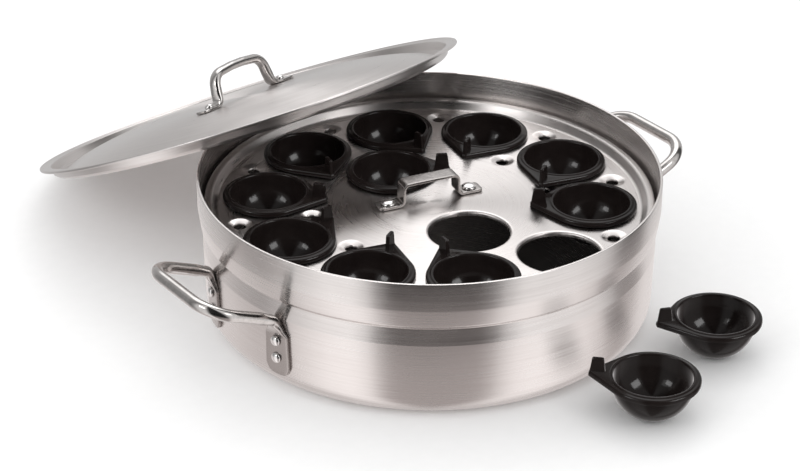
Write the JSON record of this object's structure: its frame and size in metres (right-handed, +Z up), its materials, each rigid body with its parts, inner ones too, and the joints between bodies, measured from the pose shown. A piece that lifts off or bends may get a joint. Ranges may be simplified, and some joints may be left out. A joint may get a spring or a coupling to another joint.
{
  "type": "egg cooker",
  "caption": "Wide round metal egg poaching pan with loop side handles, a lift-out pierced insert plate with a strap handle, black egg cups with thumb fins, and a lid leaning on the rim.",
  "frame": {"origin": "centre of the pan's flat underside, on the table", "axes": "+Z up; X runs through the two side handles; +Y is towards the lid that leans on the back of the rim"},
  "size_m": [0.5276, 0.7588, 0.1829],
  "materials": {
    "pan_aluminium": "spun and brushed round the axis, warm grey",
    "insert_aluminium": "satin brushed sheet",
    "lid_aluminium": "spun and brushed round the axis",
    "polished_handle": "polished cast loop",
    "strap_aluminium": "brushed flat strap with bright edges",
    "rivet_aluminium": "bright domed heads",
    "cup_plastic": "smooth glossy black moulding"
  },
  "bodies": {
    "pan": {"pan_body": "pan_aluminium", "side_handle_left": "polished_handle", "side_handle_right": "polished_handle", "side_rivet_left_1": "rivet_aluminium", "side_rivet_left_2": "rivet_aluminium", "side_rivet_left_3": "rivet_aluminium", "side_rivet_left_4": "rivet_aluminium", "side_rivet_right_1": "rivet_aluminium", "side_rivet_right_2": "rivet_aluminium", "side_rivet_right_3": "rivet_aluminium", "side_rivet_right_4": "rivet_aluminium"},
    "insert": {"insert_plate": "insert_aluminium", "insert_handle": "strap_aluminium", "insert_rivet_1": "rivet_aluminium", "insert_rivet_2": "rivet_aluminium"},
    "lid": {"lid": "lid_aluminium", "lid_handle": "polished_handle", "lid_rivet_1": "rivet_aluminium", "lid_rivet_2": "rivet_aluminium"},
    "cup_01": {"cup_01": "cup_plastic"},
    "cup_02": {"cup_02": "cup_plastic"},
    "cup_03": {"cup_03": "cup_plastic"},
    "cup_04": {"cup_04": "cup_plastic"},
    "cup_05": {"cup_05": "cup_plastic"},
    "cup_06": {"cup_06": "cup_plastic"},
    "cup_07": {"cup_07": "cup_plastic"},
    "cup_08": {"cup_08": "cup_plastic"},
    "cup_09": {"cup_09": "cup_plastic"},
    "cup_10": {"cup_10": "cup_plastic"},
    "cup_11": {"cup_11": "cup_plastic"},
    "cup_12": {"cup_12": "cup_plastic"}
  },
  "joints": [
    {"name": "lid_lift", "type": "slide", "parent": "pan", "child": "lid", "axis": [0, 0, 1], "range_m": [0, 0.15]},
    {"name": "insert_lift", "type": "slide", "parent": "pan", "child": "insert", "axis": [0, 0, 1], "range_m": [0, 0.014]},
    {"name": "cup_01_lift", "type": "slide", "parent": "insert", "child": "cup_01", "axis": [0, 0, 1], "range_m": [0, 0.026]},
    {"name": "cup_02_lift", "type": "slide", "parent": "insert", "child": "cup_02", "axis": [0, 0, 1], "range_m": [0, 0.12]},
    {"name": "cup_03_lift", "type": "slide", "parent": "insert", "child": "cup_03", "axis": [0, 0, 1], "range_m": [0, 0.12]},
    {"name": "cup_04_lift", "type": "slide", "parent": "insert", "child": "cup_04", "axis": [0, 0, 1], "range_m": [0, 0.12]},
    {"name": "cup_05_lift", "type": "slide", "parent": "insert", "child": "cup_05", "axis": [0, 0, 1], "range_m": [0, 0.12]},
    {"name": "cup_06_lift", "type": "slide", "parent": "insert", "child": "cup_06", "axis": [0, 0, 1], "range_m": [0, 0.12]},
    {"name": "cup_07_lift", "type": "slide", "parent": "insert", "child": "cup_07", "axis": [0, 0, 1], "range_m": [0, 0.12]},
    {"name": "cup_08_lift", "type": "slide", "parent": "insert", "child": "cup_08", "axis": [0, 0, 1], "range_m": [0, 0.024]},
    {"name": "cup_09_lift", "type": "slide", "parent": "insert", "child": "cup_09", "axis": [0, 0, 1], "range_m": [0, 0.018]},
    {"name": "cup_10_lift", "type": "slide", "parent": "insert", "child": "cup_10", "axis": [0, 0, 1], "range_m": [0, 0.04]},
    {"name": "cup_11_lift", "type": "slide", "parent": "pan", "child": "cup_11", "axis": [0, 0, 1], "range_m": [0, 0.12]},
    {"name": "cup_12_lift", "type": "slide", "parent": "pan", "child": "cup_12", "axis": [0, 0, 1], "range_m": [0, 0.12]}
  ]
}
